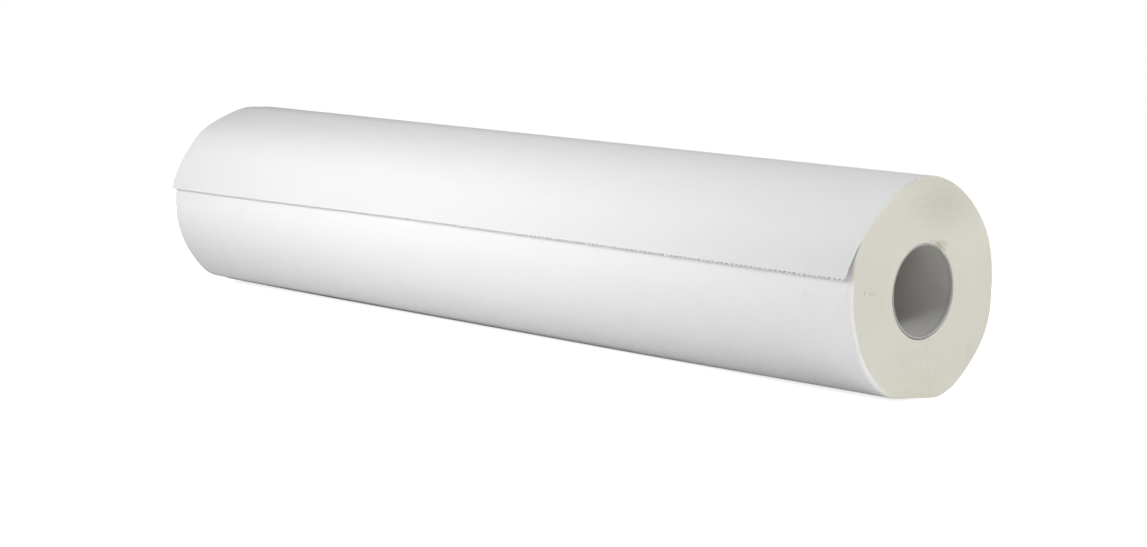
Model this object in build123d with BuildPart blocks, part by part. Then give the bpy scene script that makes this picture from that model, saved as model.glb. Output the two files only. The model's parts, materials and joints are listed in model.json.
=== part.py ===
from build123d import *
import math
import os

os.makedirs("parts", exist_ok=True)

# Exam table paper roll: one long web of embossed tissue wound on a board core.
# It lies on its side, on the small flat that its own weight presses into the soft winding.
# Millimetres, +Z up. X runs along the roll, and the loose tail hangs on the -Y side.
# The origin is on the floor, in the middle of the flat.
# Angles are read in the cross-section, from +Y towards +Z.

# Roll
roll_width = 500.0
roll_diameter = 103.5
flat_depth = 1.4
flat_blend_radius = 12.0
shoulder_round = 0.9

# Board core
core_bore = 42.0
core_wall = 0.9
core_clearance = 0.1
core_rim_chamfer = 0.2

# Web, drawn thicker than real tissue so that its loose tail is a sound solid
web_thickness = 0.3
turn_slack = 0.15

# Loose tail, which stands off the winding over its last stretch
tail_edge_angle = 175.5
tail_length = 34.0
tail_lift = 2.3
tail_skew = 3.0

# Turns that show on both ends, drawn as one spiral groove that stands for many fine turns
groove_pitch = 3.0
groove_width = 0.5
groove_depth = 0.35
groove_inner_margin = 0.9
groove_outer_margin = 0.9

# Sizes that follow from the ones above
roll_radius = roll_diameter / 2
axis_height = roll_radius - flat_depth
core_radius = core_bore / 2 + core_wall
winding_bore_radius = core_radius + core_clearance
turn_step = web_thickness + turn_slack
tail_leave_angle = tail_edge_angle - math.degrees(tail_length / roll_radius)

# Plane across the roll with its origin on the axis, and the same plane turned to where the tail leaves
across = Plane(origin=(0, 0, axis_height), x_dir=(0, 1, 0), z_dir=(1, 0, 0))
leave_turn = math.radians(tail_leave_angle)
leave_direction = (0, math.cos(leave_turn), math.sin(leave_turn))
winding = Plane(origin=(0, 0, axis_height), x_dir=leave_direction, z_dir=(1, 0, 0))
roll_axis = Axis((0, 0, axis_height), (1, 0, 0))


def half_turns(first_radius, pitch, count):
    """Draw a spiral that grows one pitch a turn, as half circles about two centres half a pitch apart."""
    arcs = []
    for index in range(count):
        centre = pitch / 4 if index % 2 else -pitch / 4
        start = 180 * (index % 2)
        arcs.append(CenterArc((centre, 0), first_radius + index * pitch / 2, start, 180))
    return arcs


def groove_outline():
    """Draw the closed outline of the spiral groove, from beside the core to just inside the outer turns."""
    first_radius = winding_bore_radius + groove_inner_margin + groove_pitch / 4
    last_radius = axis_height - groove_outer_margin - groove_width - groove_pitch / 4
    count = 1 + int((last_radius - first_radius) / (groove_pitch / 2))
    inner_side = half_turns(first_radius, groove_pitch, count)
    outer_side = half_turns(first_radius + groove_width, groove_pitch, count)
    Line(inner_side[0] @ 0, outer_side[0] @ 0)
    Line(inner_side[-1] @ 1, outer_side[-1] @ 1)


# Core tube: a plain board tube with its cut rims eased
with BuildPart() as core_tube:
    with BuildSketch(across.offset(-roll_width / 2)):
        Circle(core_radius)
        Circle(core_bore / 2, mode=Mode.SUBTRACT)
    extrude(amount=roll_width)
    rims = core_tube.edges().filter_by(GeomType.CIRCLE)
    chamfer(rims, length=core_rim_chamfer)

# Tail: a thin strip that curves less than the winding, so that it stands off at its free edge
tail_curvature = 1 / roll_radius - 2 * (tail_lift - turn_slack) / tail_length**2
tail_radius = 1 / tail_curvature
tail_centre = (roll_radius - tail_radius, 0)
tail_sweep = math.degrees((tail_length + tail_lift) / tail_radius)
edge_height = axis_height + roll_radius * math.sin(math.radians(tail_edge_angle))
leave_height = axis_height + roll_radius * math.sin(leave_turn)
tail_rise = leave_height - edge_height

with BuildPart() as tail:
    with BuildSketch(winding.offset(-roll_width)):
        with BuildLine():
            outside = CenterArc(tail_centre, tail_radius, 0, tail_sweep)
            inside = CenterArc(tail_centre, tail_radius - web_thickness, 0, tail_sweep)
            Line(outside @ 0, inside @ 0)
            Line(outside @ 1, inside @ 1)
        make_face()
    extrude(amount=2 * roll_width)
    # Seen from the front, it is trimmed askew: its sides meet the roll's ends where it leaves the winding
    left = -roll_width / 2
    right = roll_width / 2
    with BuildSketch(Plane.XZ):
        with BuildLine():
            Polyline(
                (left + tail_skew, leave_height + tail_rise),
                (left - tail_skew, edge_height),
                (right - tail_skew, edge_height),
                (right + tail_skew, leave_height + tail_rise),
                close=True,
            )
        make_face()
    extrude(amount=roll_diameter, mode=Mode.INTERSECT)

# Paper roll: the whole winding as one solid, with its outer turn as a true spiral that ends in the tail
with BuildPart() as paper_roll:
    with BuildSketch(winding.offset(-roll_width / 2)):
        with BuildLine():
            outer_turn = half_turns(roll_radius - 3 * turn_step / 4, turn_step, 2)
            Line(outer_turn[0] @ 0, outer_turn[-1] @ 1)
        make_face()
        Circle(winding_bore_radius, mode=Mode.SUBTRACT)
    extrude(amount=roll_width)

    # Flat that the roll rests on, blended into the round
    split(bisect_by=Plane.XY, keep=Keep.TOP)
    flat_sides = paper_roll.edges().filter_by(Axis.X).group_by(Axis.Z)[0]
    fillet(flat_sides, radius=flat_blend_radius)

    # Soft shoulders at both ends
    with BuildSketch(Plane.XZ) as shoulder:
        with Locations((0, axis_height)):
            Rectangle(roll_width, roll_radius + turn_slack, align=(Align.CENTER, Align.MIN))
        fillet(shoulder.vertices().group_by(Axis.Y)[-1], radius=shoulder_round)
    revolve(axis=roll_axis, mode=Mode.INTERSECT)

    # Turns on both ends
    for end in (-roll_width / 2, roll_width / 2 - groove_depth):
        with BuildSketch(winding.offset(end)):
            with BuildLine():
                groove_outline()
            make_face()
        extrude(amount=groove_depth, mode=Mode.SUBTRACT)

    add(tail.part)

core_tube.part.label = "core_tube"
export_step(core_tube.part, "parts/core_tube.step")
paper_roll.part.label = "paper_roll"
export_step(paper_roll.part, "parts/paper_roll.step")
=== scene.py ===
import bmesh
import bpy
import json
import math
import numpy as np
from mathutils import Euler, Matrix, Vector


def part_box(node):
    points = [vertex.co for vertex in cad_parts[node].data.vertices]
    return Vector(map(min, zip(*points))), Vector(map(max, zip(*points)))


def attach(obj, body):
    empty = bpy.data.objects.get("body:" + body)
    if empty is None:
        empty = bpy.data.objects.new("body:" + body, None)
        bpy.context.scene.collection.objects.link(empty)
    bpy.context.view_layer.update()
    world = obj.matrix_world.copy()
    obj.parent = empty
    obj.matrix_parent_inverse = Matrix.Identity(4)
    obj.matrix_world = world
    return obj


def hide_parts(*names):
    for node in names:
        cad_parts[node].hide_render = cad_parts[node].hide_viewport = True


# An exam table paper roll on a pale floor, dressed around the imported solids. Everything is in metres.
# Angles go round the roll's axis, from +Y towards +Z, in degrees.

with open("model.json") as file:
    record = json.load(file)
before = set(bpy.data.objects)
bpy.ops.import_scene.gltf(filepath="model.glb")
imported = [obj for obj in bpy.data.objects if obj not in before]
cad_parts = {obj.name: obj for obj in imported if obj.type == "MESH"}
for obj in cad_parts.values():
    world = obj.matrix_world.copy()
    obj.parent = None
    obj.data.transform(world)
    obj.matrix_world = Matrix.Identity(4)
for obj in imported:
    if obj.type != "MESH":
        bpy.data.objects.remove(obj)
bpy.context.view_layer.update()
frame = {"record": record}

MM = 0.001
RANDOM_SEED = 7

# Sizes that come from the frame
core_low, core_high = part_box("core_tube")
roll_low, roll_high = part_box("paper_roll")
mounts = {mount["name"]: mount for mount in frame["record"]["mounts"]}
HALF_WIDTH = core_high.x
AXIS_HEIGHT = (core_low.z + core_high.z) / 2
CORE_RADIUS = (core_high.z - core_low.z) / 2
BORE_RADIUS = mounts["core_bore"]["dims"]["r_mm"] * MM
ROLL_RADIUS = roll_high.z - AXIS_HEIGHT
TAIL_SKEW = -roll_low.x - HALF_WIDTH

# Winding: its hole, the gap that opens round the lower half of the core at both mouths, and its grid
CORE_CLEARANCE = 0.1 * MM
WINDING_HOLE = CORE_RADIUS + CORE_CLEARANCE
MOUTH_GAP = 0.35 * MM
MOUTH_GAP_FALL = 0.3
MOUTH_DEPTH = 4 * MM
AROUND = 240
ALONG = 200
END_ROWS = 60
RIM_ROWS = 5
ANGLES = np.arange(AROUND) * 360 / AROUND
WINDING_SHARP_ANGLE = 60

# Soft out-of-round outline of the winding
# Each swell: its angle, its spread, and its height in mm at the far and at the near end
SWELLS = [
    (92, 12, 1.1, 0.7),
    (52, 12, -0.2, -0.3),
    (29, 9, 0.0, 0.2),
    (10, 12, -0.3, -0.4),
    (-10, 8, 0.0, 0.3),
    (-21, 11, 0.5, 1.1),
    (-57, 10, 0.2, 0.6),
    (-104, 6.5, -1.6, 0.0),
    (-112, 8, 0.0, -0.4),
    (-118, 6, 0.5, 0.0),
    (-128, 11, 0.25, 0.4),
    (-160, 11, 0.7, -0.5),
    (191, 6, 0.35, 0.3),
    (182, 9, 0.1, 0.2),
    (160, 9, 0.3, 0.0),
    (140, 7, 0.25, 0.0),
    (133, 9, 0.0, -1.0),
    (117, 11, -1.25, 0.0),
]
FAR_DROOP = 0.85 * MM
FAR_DROOP_LENGTH = 16 * MM
FAR_DROOP_ANGLE = 92
FAR_DROOP_SPREAD = 16

# Flat underneath: how softly it meets the round, how far each end stands off the floor,
# and where along the roll that begins. Directions less steep than LEAST_DOWN never reach the flat.
FLAT_BLEND = 0.5 * MM
LEAST_DOWN = 0.05
NEAR_RISE = 1.45 * MM
NEAR_RISE_START = 60 * MM
FAR_RISE = 0.75 * MM
FAR_RISE_START = -150 * MM

# Rims. The near one is softer on the front below the tail, and there its rounding and outer cut rows take a
# painted highlight, white instead of cream.
# A span says where something begins, is full, starts to fade and ends.
FAR_RIM = 0.9 * MM
NEAR_RIM = 0.35 * MM
NEAR_RIM_SOFTNESS = 0.85 * MM
SOFT_RIM_SPAN = (168, 188, 220, 262)
# Where the painted highlight lies on the near rim, and over how many of its outer cut rows it runs
HIGHLIGHT_SPAN = (174, 179, 225, 262)
HIGHLIGHT_ROWS = 3
FAR_WHITE_SPAN = (80, 110, 255, 275)

# Relief of the cut ends: a faint spiral of turns, broad waves, and an uneven height of each ring
TURN_PITCH = 3.0 * MM
TURN_RELIEF = 0.02 * MM
WAVE_PITCH = 5.0 * MM
WAVE_RELIEF = 0.15 * MM
WAVE_SHIFT = 70
UNEVEN_RELIEF = 0.03 * MM
UNEVEN_SWING = 0.5
UNEVEN_WAVES = 3
UNEVEN_SHIFT = 20
END_FADE = (0, 0.05, 0.97, 1)

# Loose tail: its grid, its thickness, and where it leaves the winding
TAIL_COLUMNS = 1500
TAIL_ROWS = 12
TAIL_ROW_CROWDING = 0.8
TAIL_THICKNESS = 0.22 * MM
TAIL_LEAST_THICKNESS = 0.01 * MM
TAIL_THICKEN_SPAN = 25
TAIL_GAP = 0.05 * MM
TAIL_ROOT_ANGLE = 104
TAIL_SHARP_ANGLE = 50
# The angle of its edge, and how far its edge stands off in mm, at the far end.
# Each step says over which shares of the roll's width the value changes, and by how much.
TAIL_EDGE_ANGLE = 178.0
TAIL_EDGE_STEPS = [(0, 0.5, -2.2), (0.52, 0.7, -0.4), (0.95, 1, -0.1)]
TAIL_LIFT = 1.2
TAIL_LIFT_STEPS = [(0, 0.4, 0.5), (0.4, 0.9, 0.5)]
# The last stretch, in degrees, over which it lifts off the winding, slowly at first
TAIL_FREE_SPAN = 34
TAIL_FREE_LIMIT = 1.1
TAIL_LIFT_BEND = 2.3
# How it hangs askew below SKEW_START_ANGLE: the share of the solid's skew that it has at the far end,
# and the share that it loses by the near end. Above, it sways a little the other way.
SKEW_FAR = 0.75
SKEW_FALL = 0.2
SKEW_START_ANGLE = 150
SKEW_BEND = 1.5
TAIL_SWAY = 0.9 * MM
TAIL_SWAY_SPAN = (146, 163)
# Angles over which it takes a painted shade and its near side a painted highlight, and the shares of the
# roll's width over which that near side begins
FLAP_SHADE_SPAN = (152, 174)
LIT_SPAN = (155, 165)
LIT_SIDE_SPAN = (0.996, 0.9985)

# Teeth of the torn edge: one at each tie of the perforation, a little longer towards the near end
TOOTH_PITCH = 2.9 * MM
TOOTH_JITTER = 0.06
TOOTH_LENGTHS = (1.2, 1.6)
TOOTH_SHARE_FAR = 0.4
TOOTH_SHARE_GROWTH = 0.38
TOOTH_WIDTH = 1.3 * MM
TOOTH_WIDTH_SHARES = (0.85, 1.15)
TOOTH_BLUNTNESS = 1.2
TOOTH_ROOT = 0.94
EDGE_ROUGHNESS = 0.04 * MM

# Tuft of tissue on the near rim of the core
TUFT_COLUMNS = 40
TUFT_ROWS = 12
TUFT_START = 86
TUFT_END = 53
TUFT_INNER = 20.95 * MM
TUFT_OUTER = 25.2 * MM
TUFT_START_WIDTH = 0.55
TUFT_RAGGEDNESS = 0.12
TUFT_HEIGHT = 1.5 * MM
TUFT_LEAST_CRUMPLE = 0.25
TUFT_CRUMPLE = 3.0
TUFT_END_BEND = 0.5
TUFT_SIDE_BEND = 0.6
TUFT_SUNK = 0.1 * MM
TUFT_THICKNESS = 0.12 * MM
TUFT_SHARP_ANGLE = 60

# Board core: its grid, its eased rims, and the low step of its spiral seam
CORE_AROUND = 96
CORE_ALONG = 160
CORE_EASE = 0.2 * MM
CORE_RIM_DEPTH = 1 * MM
CORE_SHARP_ANGLE = 40
SEAM_PITCH = 95 * MM
SEAM_STEP = 0.12 * MM
SEAM_WIDTH = 0.04

# Relief in the materials: the scale, detail and roughness of each noise, and the heights of all
EMBOSS_PITCH = 1.7 * MM
EMBOSS_HEIGHT = 0.055 * MM
FIBRES = (2600.0, 3.0, 0.6)
FIBRE_HEIGHT = 0.04 * MM
CRUMPLE = (42.0, 3.0, 0.5)
CRUMPLE_HEIGHT = 0.25 * MM
PUCKERS = (240.0, 2.0, 0.5)
PUCKER_HEIGHT = 0.07 * MM
FINE_RINGS = (2400.0, 4.0, 0.7)
FINE_RING_HEIGHT = 0.3 * MM
BROAD_RINGS = (420.0, 2.0, 0.5)
BROAD_RING_HEIGHT = 0.24 * MM
RING_STRETCH = 0.02
SPECKS = (900.0, 4.0, 0.7)
SPECK_HEIGHT = 0.2 * MM
BOARD_FIBRES = (700.0, 5.0, 0.65)
BOARD_FIBRE_HEIGHT = 0.12 * MM
BOARD_BLOTCHES = (90.0, 2.0, 0.5)

# Creases and dents of the side, in mm: place along the roll, way round from the tail's root,
# half length along the roll, half width round it, and depth
DENTS = [
    (107.4, 104.5, 3.3, 8, 0.6),
    (109.8, 105.0, 1.6, 9, 0.5),
    (225.5, 73.4, 2.6, 2.2, 0.5),
    (238.5, 58.3, 2.0, 1.8, -0.25),
]
# Painted shade and marks of the near end, in mm: place from the axis, half width, half height,
# and how dark each one is
PAINTED_SHADES_AND_MARKS = [
    # Painted shade in small nicks
    (-41.2, -1.5, 0.6, 1.3, 0.42),
    (-37.2, -1.8, 0.5, 1.2, 0.36),
    (-35.2, -1.7, 0.45, 1.4, 0.36),
    (-30.5, -4.2, 0.3, 3.2, 0.14),
    # A faint darker patch
    (37.5, -26.9, 2.2, 3.5, 0.08),
    # Painted shade of the tuft's crumples
    (8.5, 21.8, 6.5, 1.9, 0.42),
    # Painted shade over the upper part of the end
    (10.0, 42.0, 28.0, 15.0, 0.22),
    # Painted shadow of the flap beside the tail's near corner
    (-51.3, 8.0, 1.7, 7.0, 0.36),
]
# A dent, nick or shade has faded out at this many times its half size
SPOT_FADE = 1.4

# Colours, and how strongly the noises mix them
TISSUE_DULL = (0.856, 0.865, 0.859, 1)
TISSUE_BRIGHT = (0.882, 0.890, 0.884, 1)
# Painted highlight, on the near rim's front and along the tail's near side
TISSUE_PAINTED_HIGHLIGHT = (0.975, 0.975, 0.965, 1)
# Painted shade of the tail as it lifts off towards its edge
TISSUE_PAINTED_SHADE = (0.835, 0.845, 0.84, 1)
CREAM_DARK = (0.80, 0.78, 0.67, 1)
CREAM_LIGHT = (0.90, 0.88, 0.79, 1)
CREAM_SPECK = (0.84, 0.82, 0.72, 1)
# Colour of the painted shade on the near end, and of one faint darker patch
SHADE_AND_MARK_COLOUR = (0.30, 0.29, 0.24, 1)
RING_CONTRAST = (-0.6, 1.6)
SPECK_CONTRAST = (-1.2, 1.6)
BOARD_DARK = (0.56, 0.55, 0.52, 1)
BOARD_LIGHT = (0.68, 0.67, 0.64, 1)
BOARD_BLOTCH = (0.60, 0.59, 0.56, 1)
BOARD_RIM = (0.50, 0.50, 0.49, 1)
BLOTCH_CONTRAST = (-0.4, 1.0)
TISSUE_ROUGHNESS = 0.9
TISSUE_SHEEN = 0.25
BOARD_ROUGHNESS = 0.85
BOARD_SHEEN = 0.3

# Camera, fitted to the outline of the roll in the photograph
CAMERA_PLACE = (989.57 * MM, -939.85 * MM, 188.86 * MM)
CAMERA_AZIMUTH = 45.80
CAMERA_ELEVATION = 8.67
CAMERA_TIP = 7.0
CAMERA_LENS = 83.3
CAMERA_SENSOR = 36
CAMERA_NEAREST = 0.05
CAMERA_FARTHEST = 60

# Lamps: name, place, place along the axis that it faces, size, and watts
LAMPS = [
    ("key", (-0.12, -0.45, 0.265), -0.12, (0.4, 0.32), 1.58),
    ("right", (0.15, -0.50, 0.28), 0.15, (0.35, 0.25), 0.45),
    ("front", (0.80, -0.72, 0.25), 0.25, (0.3, 0.3), 0.54),
    ("low", (0.90, -0.25, 0.09), 0.25, (0.3, 0.12), 0.58),
    ("high", (0.65, 0.14, 0.60), 0.25, (0.12, 0.12), 2.05),
    ("side", (0.85, 0.30, 0.07), 0.25, (0.3, 0.1), 0.35),
    ("rear", (0.05, 0.85, 0.12), 0, (0.6, 0.16), 3.6),
    ("far", (-0.95, 0.35, 0.10), -0.25, (0.3, 0.16), 2.0),
]
LAMP_AIM_HEIGHT = 0.05
LAMP_SPREAD = 180

# Sky and floor. The floor's own white is a little dimmer close to the roll, where its shadow shows.
WHITE = (1, 1, 1, 1)
SKY_LEVEL = 0.11
FLOOR_SIZE = 30
FLOOR_COLOUR = (0.84, 0.84, 0.84, 1)
FLOOR_GLOW = 0.93
GLOW_NEAR = 0.80
GLOW_NEAR_END = 0.015
GLOW_FULL_START = 0.07


def smooth_step(value, start, end):
    """Go from 0 to 1 between start and end, gently at both ends."""
    share = np.clip((value - start) / (end - start), 0, 1)
    return share * share * (3 - 2 * share)


def within(value, begins, full, fades, ends):
    """1 inside a span and 0 outside it, with a gentle change at both of its ends."""
    return smooth_step(value, begins, full) * (1 - smooth_step(value, fades, ends))


def stepped(share, first, steps):
    """A value along the roll that is first at the far end, and then changes gently over each step."""
    value = first + 0 * share
    for begins, ends, change in steps:
        value = value + change * smooth_step(share, begins, ends)
    return value


def turned(angle, target):
    """Signed difference between two angles, in degrees."""
    return (angle - target + 180) % 360 - 180


def bell(angle, centre, spread):
    """1 at its centre, with a round fall to both sides that its spread sets."""
    return np.exp(-0.5 * (turned(angle, centre) / spread) ** 2)


def outline_radius(angle, x):
    """Radius of the winding at an angle and a place along it: nearly round, soft, and flat underneath."""
    near_share = (x + HALF_WIDTH) / (2 * HALF_WIDTH)
    radius = ROLL_RADIUS + 0 * x
    for centre, spread, far_height, near_height in SWELLS:
        height = (far_height + (near_height - far_height) * near_share) * MM
        radius = radius + height * bell(angle, centre, spread)
    droop = FAR_DROOP * smooth_step(-x, HALF_WIDTH - FAR_DROOP_LENGTH, HALF_WIDTH)
    radius = radius - droop * bell(angle, FAR_DROOP_ANGLE, FAR_DROOP_SPREAD)
    rise = NEAR_RISE * smooth_step(x, NEAR_RISE_START, HALF_WIDTH)
    rise = rise + FAR_RISE * smooth_step(-x, -FAR_RISE_START, HALF_WIDTH)
    down = -np.sin(np.radians(angle))
    flat = (AXIS_HEIGHT - rise) / np.maximum(down, LEAST_DOWN)
    lowest = np.minimum(radius, flat)
    return lowest - FLAT_BLEND / 2 * np.exp(-np.abs(radius - flat) / FLAT_BLEND)


def at(x, angle, radius):
    """Point on the roll, from its place along the axis, its angle and its radius, never below the floor."""
    radians = np.radians(angle)
    shape = np.broadcast(x, angle, radius).shape
    point = np.empty(shape + (3,))
    point[..., 0] = x
    point[..., 1] = radius * np.cos(radians)
    point[..., 2] = np.maximum(AXIS_HEIGHT + radius * np.sin(radians), 0)
    return point


def quads(index):
    """Faces of a grid of vertex numbers."""
    corners = (index[:-1, :-1], index[1:, :-1], index[1:, 1:], index[:-1, 1:])
    return np.stack(corners, -1).reshape(-1, 4)


def mesh_object(name, points, faces, sharp_angle):
    """Make a smooth-shaded closed piece whose edges above sharp_angle stay sharp."""
    mesh = bpy.data.meshes.new(name)
    mesh.from_pydata(points.reshape(-1, 3).tolist(), [], faces.tolist())
    work = bmesh.new()
    work.from_mesh(mesh)
    bmesh.ops.recalc_face_normals(work, faces=work.faces)
    work.to_mesh(mesh)
    work.free()
    mesh.shade_smooth()
    mesh.set_sharp_from_angle(angle=math.radians(sharp_angle))
    piece = bpy.data.objects.new(name, mesh)
    bpy.context.scene.collection.objects.link(piece)
    return piece


def ring(name, points, sharp_angle):
    """Make a closed piece from rows of points that go all the way round, and that join up both ways."""
    rows, columns = points.shape[:2]
    index = np.arange(rows * columns).reshape(rows, columns)
    index = np.vstack([index, index[:1]])
    index = np.hstack([index, index[:, :1]])
    return mesh_object(name, points, quads(index), sharp_angle)


def slab(name, outer, inner, sharp_angle):
    """Make a closed sheet of small thickness between two grids of points."""
    rows, columns = outer.shape[:2]
    count = rows * columns
    index = np.arange(count).reshape(rows, columns)
    rim = np.concatenate([index[0, :-1], index[:-1, -1], index[-1, :0:-1], index[:0:-1, 0]])
    after = np.roll(rim, -1)
    border = np.stack([rim, after, after + count, rim + count], -1)
    front = quads(index)
    back = front[:, ::-1] + count
    points = np.concatenate([outer.reshape(-1, 3), inner.reshape(-1, 3)])
    return mesh_object(name, points, np.vstack([front, back, border]), sharp_angle)


def dress(piece, material, web, **values):
    """Give a piece its material, and what the material reads at each point.

    The web is the place on the unrolled tissue or board. Each other value is one number a point,
    or the same number for all of them.
    """
    attribute = piece.data.attributes.new("web", "FLOAT_VECTOR", "POINT")
    attribute.data.foreach_set("vector", np.asarray(web, np.float32).ravel())
    for name, numbers in values.items():
        attribute = piece.data.attributes.new(name, "FLOAT", "POINT")
        numbers = np.broadcast_to(np.ravel(numbers), len(piece.data.vertices))
        attribute.data.foreach_set("value", numbers.astype(np.float32))
    piece.data.materials.append(material)


class Nodes:
    """Short way to add nodes to one node tree."""

    def __init__(self, tree):
        self.tree = tree

    def feed(self, socket, value):
        """Set a socket to a value, or link it to the socket that feeds it."""
        if isinstance(value, bpy.types.NodeSocket):
            self.tree.links.new(value, socket)
        else:
            socket.default_value = value

    def add(self, kind, **inputs):
        """Add a node. An input is a value, or the socket that feeds it."""
        node = self.tree.nodes.new("ShaderNode" + kind)
        for name, value in inputs.items():
            self.feed(node.inputs[name.replace("_", " ")], value)
        return node

    def math(self, operation, first, second=0.0):
        """Work out one number from two."""
        node = self.add("Math")
        node.operation = operation
        self.feed(node.inputs[0], first)
        self.feed(node.inputs[1], second)
        return node.outputs[0]

    def total(self, first, *others):
        """Add up any number of values."""
        for value in others:
            first = self.math("ADD", first, value)
        return first

    def times(self, first, second):
        """Multiply two values."""
        return self.math("MULTIPLY", first, second)

    def scale(self, value, low, high):
        """Map a 0 to 1 value to the range from low to high."""
        return self.total(self.times(value, high - low), low)

    def vector_math(self, operation, first, second=(0, 0, 0)):
        """Work out one vector from two. The node is given back, because a length is another output."""
        node = self.add("VectorMath")
        node.operation = operation
        self.feed(node.inputs[0], first)
        self.feed(node.inputs[1], second)
        return node

    def read(self, name, output):
        """Read what a piece keeps at each of its points."""
        node = self.add("Attribute")
        node.attribute_name = name
        return node.outputs[output]

    def noise(self, place, look):
        """Noise at a place, with the scale, detail and roughness of its look."""
        scale, detail, roughness = look
        node = self.add("TexNoise", Vector=place, Scale=scale, Detail=detail, Roughness=roughness)
        return node.outputs[0]

    def mix_colours(self, share, first, second):
        """Go from the first colour to the second."""
        node = self.add("Mix")
        node.data_type = "RGBA"
        self.feed(node.inputs[0], share)
        self.feed(node.inputs[6], first)
        self.feed(node.inputs[7], second)
        return node.outputs[2]

    def mix_numbers(self, share, first, second):
        """Go from the first number to the second."""
        node = self.add("Mix")
        self.feed(node.inputs[0], share)
        self.feed(node.inputs[2], first)
        self.feed(node.inputs[3], second)
        return node.outputs[0]

    def spot(self, place, middle, half_size):
        """1 in the middle of a small oval place and 0 beyond it, with a gentle fall between them."""
        offset = self.vector_math("SUBTRACT", place, middle)
        share = self.vector_math("DIVIDE", offset.outputs[0], half_size)
        distance = self.vector_math("LENGTH", share.outputs[0]).outputs["Value"]
        fall = self.add("MapRange", Value=distance, From_Min=SPOT_FADE, From_Max=0.0)
        fall.interpolation_type = "SMOOTHSTEP"
        return fall.outputs[0]


def new_material(name):
    """Make a material, and give it back with its nodes and its shader."""
    material = bpy.data.materials.new(name)
    material.use_nodes = True
    nodes = Nodes(material.node_tree)
    return material, nodes, material.node_tree.nodes["Principled BSDF"]


def finish_shader(nodes, shader, colour, height, roughness, sheen):
    """Give a shader its colour, its relief and how dull it is."""
    bump = nodes.add("Bump", Height=height, Distance=1.0, Strength=1.0)
    nodes.feed(shader.inputs["Base Color"], colour)
    nodes.feed(shader.inputs["Normal"], bump.outputs[0])
    shader.inputs["Roughness"].default_value = roughness
    shader.inputs["Specular IOR Level"].default_value = sheen


def side_relief(nodes, web, along, way_round, crumple):
    """Height of the tissue's side: raised dots, fibres, crumple and puckers, and its few dents."""
    # Diamond lattice of dots, from two crossing waves whose sum goes from -2 to 2
    wave_count = 2 * math.pi / EMBOSS_PITCH
    wave_one = nodes.math("COSINE", nodes.times(nodes.total(along, way_round), wave_count))
    wave_two = nodes.math("COSINE", nodes.times(nodes.math("SUBTRACT", along, way_round), wave_count))
    dots = nodes.total(nodes.times(nodes.total(wave_one, wave_two), 0.25), 0.5)
    height = nodes.total(
        nodes.times(dots, EMBOSS_HEIGHT),
        nodes.times(nodes.noise(web, FIBRES), FIBRE_HEIGHT),
        nodes.times(crumple, CRUMPLE_HEIGHT),
        nodes.times(nodes.noise(web, PUCKERS), PUCKER_HEIGHT),
    )
    for x, arc, half_length, half_width, depth in DENTS:
        middle = (x * MM, arc * MM, ROLL_RADIUS)
        half_size = (half_length * MM, half_width * MM, 1)
        height = nodes.total(height, nodes.times(nodes.spot(web, middle, half_size), -depth * MM))
    return height


def tissue_material():
    """White embossed tissue on the side, and the cream cut edges of its many turns on the ends."""
    material, nodes, shader = new_material("tissue")
    web = nodes.read("web", "Vector")
    along, way_round, radius = nodes.add("SeparateXYZ", Vector=web).outputs
    crumple = nodes.noise(web, CRUMPLE)
    side_height = side_relief(nodes, web, along, way_round, crumple)
    white = nodes.mix_colours(crumple, TISSUE_DULL, TISSUE_BRIGHT)
    # Painted highlight where the piece keeps "rim": the near rim's front and the tail's near side
    white = nodes.mix_colours(nodes.read("rim", "Fac"), white, TISSUE_PAINTED_HIGHLIGHT)
    # Painted shade on the tail as it lifts off towards its edge
    white = nodes.mix_colours(nodes.read("thin", "Fac"), white, TISSUE_PAINTED_SHADE)

    # Cut edges: rings that follow the turns, and specks that break them up
    place = nodes.add("TexCoord").outputs["Object"]
    ring_place = nodes.add("CombineXYZ", X=radius, Y=nodes.times(way_round, RING_STRETCH)).outputs[0]
    fine_rings = nodes.noise(ring_place, FINE_RINGS)
    broad_rings = nodes.noise(ring_place, BROAD_RINGS)
    specks = nodes.noise(place, SPECKS)
    cut_height = nodes.total(
        nodes.times(fine_rings, FINE_RING_HEIGHT),
        nodes.times(specks, SPECK_HEIGHT),
        nodes.times(broad_rings, BROAD_RING_HEIGHT),
    )
    cream = nodes.mix_colours(nodes.scale(fine_rings, *RING_CONTRAST), CREAM_DARK, CREAM_LIGHT)
    cream = nodes.mix_colours(nodes.scale(specks, *SPECK_CONTRAST), CREAM_SPECK, cream)
    # Painted shade on the near end: in nicks, at the tuft, over its upper part and beside the tail's near
    # corner; and one faint darker patch
    for y, z, half_width, half_height, shade in PAINTED_SHADES_AND_MARKS:
        middle = (HALF_WIDTH, y * MM, AXIS_HEIGHT + z * MM)
        half_size = (MM, half_width * MM, half_height * MM)
        darkening = nodes.times(nodes.spot(place, middle, half_size), shade)
        cream = nodes.mix_colours(darkening, cream, SHADE_AND_MARK_COLOUR)

    cut = nodes.read("cut", "Fac")
    colour = nodes.mix_colours(cut, white, cream)
    height = nodes.mix_numbers(cut, side_height, cut_height)
    finish_shader(nodes, shader, colour, height, TISSUE_ROUGHNESS, TISSUE_SHEEN)
    return material


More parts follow.
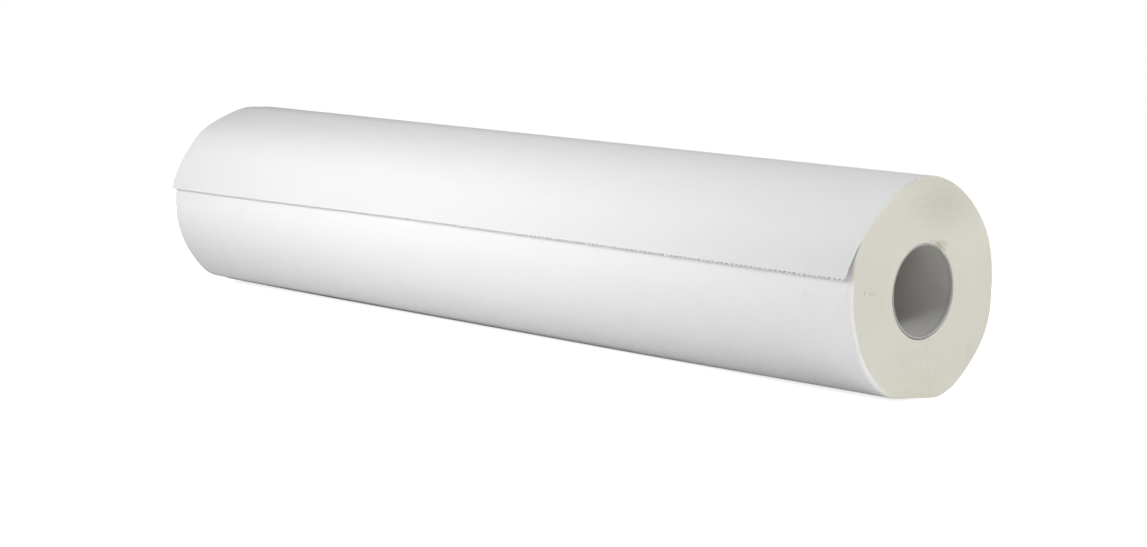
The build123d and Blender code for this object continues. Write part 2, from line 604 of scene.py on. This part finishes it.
def board_material():
    """Grey board of the core, with fibres, faint blotches and a plain grey rim."""
    material, nodes, shader = new_material("board")
    web = nodes.read("web", "Vector")
    fibres = nodes.noise(web, BOARD_FIBRES)
    blotches = nodes.noise(web, BOARD_BLOTCHES)
    grey = nodes.mix_colours(fibres, BOARD_DARK, BOARD_LIGHT)
    grey = nodes.mix_colours(nodes.scale(blotches, *BLOTCH_CONTRAST), grey, BOARD_BLOTCH)
    grey = nodes.mix_colours(nodes.read("rim", "Fac"), grey, BOARD_RIM)
    height = nodes.times(fibres, BOARD_FIBRE_HEIGHT)
    finish_shader(nodes, shader, grey, height, BOARD_ROUGHNESS, BOARD_SHEEN)
    return material


# A row of the winding goes once round it: its place along the roll, its radius,
# how far it is a cut edge, and how far it takes the painted highlight of the near rim.


def side_rows(near_rim):
    """Rows of the winding's side, from the far end to the near end."""
    rows = []
    for share in np.linspace(0, 1, ALONG):
        x = (share * 2 - 1) * HALF_WIDTH + (1 - share) * FAR_RIM - share * near_rim
        rows.append((x, outline_radius(ANGLES, x), 0, 0))
    return rows


def end_relief(radius, side):
    """Height of a cut end: a faint spiral of turns, and broad waves."""
    turns = np.cos(2 * np.pi * (radius / TURN_PITCH - ANGLES / 360))
    sweep = np.sin(np.radians(2 * ANGLES + WAVE_SHIFT * side))
    waves = sweep * np.cos(radius / WAVE_PITCH + side)
    return TURN_RELIEF * turns + WAVE_RELIEF * waves


def end_rows(side, rim, rim_cut, white, random):
    """Rows of one end of the winding, from its rim in to its hole."""
    rows = []
    edge = outline_radius(ANGLES, np.full(ANGLES.shape, side * HALF_WIDTH))
    for step in range(1, RIM_ROWS + 1):
        bend = math.pi / 2 * step / RIM_ROWS
        x = side * (HALF_WIDTH - rim + rim * math.sin(bend))
        rows.append((x, edge - rim + rim * math.cos(bend), rim_cut, white))
    inner = edge - rim
    down = -np.sin(np.radians(ANGLES))
    mouth = WINDING_HOLE + MOUTH_GAP * smooth_step(down, -MOUTH_GAP_FALL, MOUTH_GAP_FALL)
    for step in range(1, END_ROWS + 1):
        share = step / END_ROWS
        radius = inner + (mouth - inner) * share
        swing = UNEVEN_SWING * np.cos(np.radians(ANGLES * UNEVEN_WAVES + step * UNEVEN_SHIFT))
        uneven = random.normal(0, UNEVEN_RELIEF) * (1 + swing)
        relief = within(share, *END_FADE) * (end_relief(radius, side) + uneven)
        # The near rim's painted highlight runs on over the outermost cut rows, which then are white, not
        # cream
        painted_highlight = white * (step <= HIGHLIGHT_ROWS)
        rows.append((side * (HALF_WIDTH + relief), radius, 1 - painted_highlight, painted_highlight))
    return rows


def build_winding(material):
    """The wound paper as one closed skin: its side, its soft rims, both cut ends and its hole."""
    random = np.random.default_rng(RANDOM_SEED)
    near_rim = NEAR_RIM + NEAR_RIM_SOFTNESS * within(ANGLES, *SOFT_RIM_SPAN)
    # Where the near rim takes a painted highlight, white instead of cream
    white = within(ANGLES, *HIGHLIGHT_SPAN)
    far_cut = 1 - within(ANGLES, *FAR_WHITE_SPAN)
    near_end = end_rows(1, near_rim, 1 - white, white, random)
    hole = [(side * (HALF_WIDTH - MOUTH_DEPTH), WINDING_HOLE, 1, 0) for side in (1, 0, -1)]
    far_end = end_rows(-1, FAR_RIM, far_cut, 0 * ANGLES, random)
    rows = side_rows(near_rim) + near_end + hole + far_end[::-1]

    way_round = np.radians(turned(ANGLES, TAIL_ROOT_ANGLE)) * ROLL_RADIUS
    points = []
    webs = []
    cuts = []
    rims = []
    for row in rows:
        x, radius, cut, painted_highlight = np.broadcast_arrays(*row, ANGLES)[:4]
        points.append(at(x, ANGLES, radius))
        webs.append(np.stack([x, way_round, radius], -1))
        cuts.append(cut)
        rims.append(painted_highlight)
    winding = ring("winding", np.stack(points), WINDING_SHARP_ANGLE)
    dress(winding, material, np.stack(webs), cut=np.stack(cuts), rim=np.stack(rims), thin=0)
    return winding


def torn_edge(share_x, random):
    """How far the torn edge reaches past its line: its teeth, and a little roughness."""
    tooth_count = int(2 * HALF_WIDTH / TOOTH_PITCH)
    teeth = np.zeros(TAIL_COLUMNS)
    for number in range(tooth_count):
        centre = (number + 0.5 + random.uniform(-TOOTH_JITTER, TOOTH_JITTER)) / tooth_count
        length = random.uniform(*TOOTH_LENGTHS) * MM * (TOOTH_SHARE_FAR + TOOTH_SHARE_GROWTH * centre)
        width = TOOTH_WIDTH * random.uniform(*TOOTH_WIDTH_SHARES) / (2 * HALF_WIDTH)
        outline = np.clip(TOOTH_BLUNTNESS - 2 * np.abs(share_x - centre) / width, 0, 1)
        teeth = np.maximum(teeth, length * outline)
    return teeth + random.normal(0, EDGE_ROUGHNESS, TAIL_COLUMNS)


def build_tail(material):
    """The loose end of the web: it leaves the winding over the top and hangs askew to its torn edge."""
    random = np.random.default_rng(RANDOM_SEED + 1)
    share_x = np.linspace(0, 1, TAIL_COLUMNS)
    ragged = torn_edge(share_x, random)
    edge_angle = stepped(share_x, TAIL_EDGE_ANGLE, TAIL_EDGE_STEPS)
    edge_lift = stepped(share_x, TAIL_LIFT, TAIL_LIFT_STEPS) * MM
    near_side = smooth_step(share_x, *LIT_SIDE_SPAN)
    thick_angle = TAIL_ROOT_ANGLE + TAIL_THICKEN_SPAN
    outer = []
    inner = []
    web = []
    thin = []
    painted_highlight = []
    for row in range(TAIL_ROWS):
        share = (row / (TAIL_ROWS - 1)) ** TAIL_ROW_CROWDING
        angle = TAIL_ROOT_ANGLE + (edge_angle - TAIL_ROOT_ANGLE) * share
        angle = angle + np.degrees(ragged * smooth_step(share, TOOTH_ROOT, 1) / ROLL_RADIUS)

        # Skewed further down, and swayed the other way above
        hang = np.clip((angle - SKEW_START_ANGLE) / (edge_angle - SKEW_START_ANGLE), 0, 1)
        skew = TAIL_SKEW * (SKEW_FAR - SKEW_FALL * share_x) * hang**SKEW_BEND
        skew = skew - TAIL_SWAY * (1 - smooth_step(angle, *TAIL_SWAY_SPAN))
        x = (share_x * 2 - 1) * HALF_WIDTH - skew

        # Further off the winding towards its edge
        free = (angle - (edge_angle - TAIL_FREE_SPAN)) / TAIL_FREE_SPAN
        lift = edge_lift * np.clip(free, 0, TAIL_FREE_LIMIT) ** TAIL_LIFT_BEND + TAIL_GAP
        thick = TAIL_THICKNESS * smooth_step(angle, TAIL_ROOT_ANGLE, thick_angle) + TAIL_LEAST_THICKNESS
        under = outline_radius(angle, np.clip(x, -HALF_WIDTH, HALF_WIDTH))
        outer.append(at(x, angle, under + lift + thick))
        inner.append(at(x, angle, under + lift))
        web.append(np.stack([x, np.radians(angle - TAIL_ROOT_ANGLE) * ROLL_RADIUS, under], -1))
        # Painted shade of the tail as it lifts off towards its edge
        thin.append(smooth_step(angle, *FLAP_SHADE_SPAN))
        # Painted highlight along the tail's near side
        painted_highlight.append(smooth_step(angle, *LIT_SPAN) * near_side)
    tail = slab("tail", np.stack(outer), np.stack(inner), TAIL_SHARP_ANGLE)
    dress(tail, material, np.stack(web + web), cut=0, rim=np.stack(painted_highlight + painted_highlight), thin=np.stack(thin + thin))
    return tail


def build_tuft(material):
    """A small crumpled bit of tissue, caught between the winding and the core's upper rim, near end."""
    random = np.random.default_rng(RANDOM_SEED + 2)
    angle = np.linspace(TUFT_START, TUFT_END, TUFT_COLUMNS)
    share = np.linspace(0, 1, TUFT_COLUMNS)
    ends = np.sin(np.pi * share) ** TUFT_END_BEND
    bumps = random.uniform(0, 1, (TUFT_ROWS, TUFT_COLUMNS))
    for shift in (1, 2):
        bumps = (bumps + np.roll(bumps, shift, 1)) / 2
    outer = []
    inner = []
    web = []
    for row in range(TUFT_ROWS):
        across = row / (TUFT_ROWS - 1)
        width = across * (TUFT_START_WIDTH + (1 - TUFT_START_WIDTH) * share) + TUFT_RAGGEDNESS * bumps[row]
        reach = TUFT_INNER + (TUFT_OUTER - TUFT_INNER) * width
        crumple = TUFT_LEAST_CRUMPLE + TUFT_CRUMPLE * np.abs(bumps[row] - 0.5)
        stand = TUFT_HEIGHT * ends * np.sin(np.pi * across) ** TUFT_SIDE_BEND * crumple
        x = HALF_WIDTH - TUFT_SUNK + stand
        outer.append(at(x + TUFT_THICKNESS, angle, reach))
        inner.append(at(x, angle, reach))
        web.append(np.stack([x, np.radians(angle) * reach, reach], -1))
    tuft = slab("tuft", np.stack(outer), np.stack(inner), TUFT_SHARP_ANGLE)
    dress(tuft, material, np.stack(web + web), cut=1, rim=0, thin=0)
    return tuft


def build_core(material):
    """The board tube: outer wall, rims and inner wall, with the low step of its spiral seam inside."""
    angle = np.arange(CORE_AROUND) * 360 / CORE_AROUND
    eased = HALF_WIDTH - CORE_EASE
    profile = [(-eased, CORE_RADIUS), (eased, CORE_RADIUS)]
    profile += [(HALF_WIDTH, CORE_RADIUS - CORE_EASE), (HALF_WIDTH, BORE_RADIUS + CORE_EASE)]
    profile += [(x, BORE_RADIUS) for x in np.linspace(eased, -eased, CORE_ALONG)]
    profile += [(-HALF_WIDTH, BORE_RADIUS + CORE_EASE), (-HALF_WIDTH, CORE_RADIUS - CORE_EASE)]
    points = []
    webs = []
    rims = []
    for x, radius in profile:
        turn = (x / SEAM_PITCH - angle / 360) % 1
        if radius == BORE_RADIUS:
            radius = radius + SEAM_STEP * (1 - smooth_step(turn, 0, SEAM_WIDTH))
        points.append(at(x, angle, radius))
        webs.append(np.stack([np.full(angle.shape, x), np.radians(angle) * BORE_RADIUS, turn], -1))
        rims.append(np.full(angle.shape, abs(x) > HALF_WIDTH - CORE_RIM_DEPTH))
    core = ring("core", np.stack(points), CORE_SHARP_ANGLE)
    dress(core, material, np.stack(webs), rim=np.stack(rims))
    return core


def build_camera():
    """The photograph's view: a long lens by the near end, a little above it, tipped round the roll."""
    data = bpy.data.cameras.new("camera")
    data.sensor_width = CAMERA_SENSOR
    data.lens = CAMERA_LENS
    data.clip_start = CAMERA_NEAREST
    data.clip_end = CAMERA_FARTHEST
    camera = bpy.data.objects.new("camera", data)
    pitch = math.radians(90 - CAMERA_ELEVATION)
    turn = Euler((pitch, 0, math.radians(CAMERA_AZIMUTH))).to_matrix().to_4x4()
    level = Matrix.Translation(CAMERA_PLACE) @ turn
    tip = Matrix.Rotation(math.radians(CAMERA_TIP), 4, "X")
    camera.matrix_world = Matrix.Translation((0, 0, AXIS_HEIGHT)) @ tip @ level
    bpy.context.scene.collection.objects.link(camera)
    bpy.context.scene.camera = camera


def build_lamp(name, place, aim, size, watts):
    """Soft rectangular lamp that faces a place along the roll's axis."""
    data = bpy.data.lights.new(name, "AREA")
    data.shape = "RECTANGLE"
    data.size, data.size_y = size
    data.energy = watts
    data.spread = math.radians(LAMP_SPREAD)
    lamp = bpy.data.objects.new(name, data)
    lamp.location = place
    away = Vector((aim, 0, LAMP_AIM_HEIGHT)) - Vector(place)
    lamp.rotation_euler = away.to_track_quat("-Z", "Y").to_euler()
    lamp.visible_camera = False
    bpy.context.scene.collection.objects.link(lamp)


def seen_directly(nodes):
    """1 on rays that show the background itself, straight or by reflection or through glass."""
    path = nodes.add("LightPath")
    seen = nodes.math("MAXIMUM", path.outputs["Is Camera Ray"], path.outputs["Is Glossy Ray"])
    return nodes.math("MAXIMUM", seen, path.outputs["Is Transmission Ray"])


def build_world():
    """White where it is seen, and a soft even fill where it lights the roll."""
    world = bpy.data.worlds.new("studio")
    bpy.context.scene.world = world
    world.use_nodes = True
    nodes = Nodes(world.node_tree)
    fill = world.node_tree.nodes["Background"]
    fill.inputs["Color"].default_value = WHITE
    fill.inputs["Strength"].default_value = SKY_LEVEL
    shown = nodes.add("Background", Color=WHITE, Strength=1.0)
    choose = nodes.add("MixShader")
    nodes.feed(choose.inputs[0], seen_directly(nodes))
    nodes.feed(choose.inputs[1], fill.outputs[0])
    nodes.feed(choose.inputs[2], shown.outputs[0])
    nodes.feed(world.node_tree.nodes["World Output"].inputs["Surface"], choose.outputs[0])


def floor_material():
    """Pale floor with a white of its own, which only shows to the eye and lights nothing."""
    material, nodes, shader = new_material("floor")
    shader.inputs["Base Color"].default_value = FLOOR_COLOUR
    shader.inputs["Roughness"].default_value = 1
    shader.inputs["Specular IOR Level"].default_value = 0
    place = nodes.add("TexCoord").outputs["Object"]
    away = nodes.math("ABSOLUTE", nodes.add("SeparateXYZ", Vector=place).outputs["Y"])
    level = nodes.add("MapRange", Value=away, From_Min=GLOW_NEAR_END, From_Max=GLOW_FULL_START)
    level.interpolation_type = "SMOOTHSTEP"
    level.inputs["To Min"].default_value = GLOW_NEAR
    level.inputs["To Max"].default_value = FLOOR_GLOW
    glow = nodes.add("Emission", Color=level.outputs[0], Strength=seen_directly(nodes))
    both = nodes.add("AddShader")
    nodes.feed(both.inputs[0], shader.outputs[0])
    nodes.feed(both.inputs[1], glow.outputs[0])
    nodes.feed(material.node_tree.nodes["Material Output"].inputs["Surface"], both.outputs[0])
    return material


def build_floor():
    """A wide pale floor that keeps the roll's shadow and is white where nothing shades it."""
    mesh = bpy.data.meshes.new("floor")
    sides = ((-1, -1), (1, -1), (1, 1), (-1, 1))
    corners = [(x * FLOOR_SIZE, y * FLOOR_SIZE, 0) for x, y in sides]
    mesh.from_pydata(corners, [], [(0, 1, 2, 3)])
    mesh.materials.append(floor_material())
    floor = bpy.data.objects.new("floor", mesh)
    bpy.context.scene.collection.objects.link(floor)


bpy.context.scene.view_settings.view_transform = "Standard"
build_camera()
build_world()
build_floor()
for lamp in LAMPS:
    build_lamp(*lamp)

tissue = tissue_material()
board = board_material()
winding = build_winding(tissue)
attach(winding, "root")
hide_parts("paper_roll")
tail = build_tail(tissue)
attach(tail, "root")
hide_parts("paper_roll")
tuft = build_tuft(tissue)
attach(tuft, "root")
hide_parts("paper_roll")
core = build_core(board)
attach(core, "root")
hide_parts("core_tube")
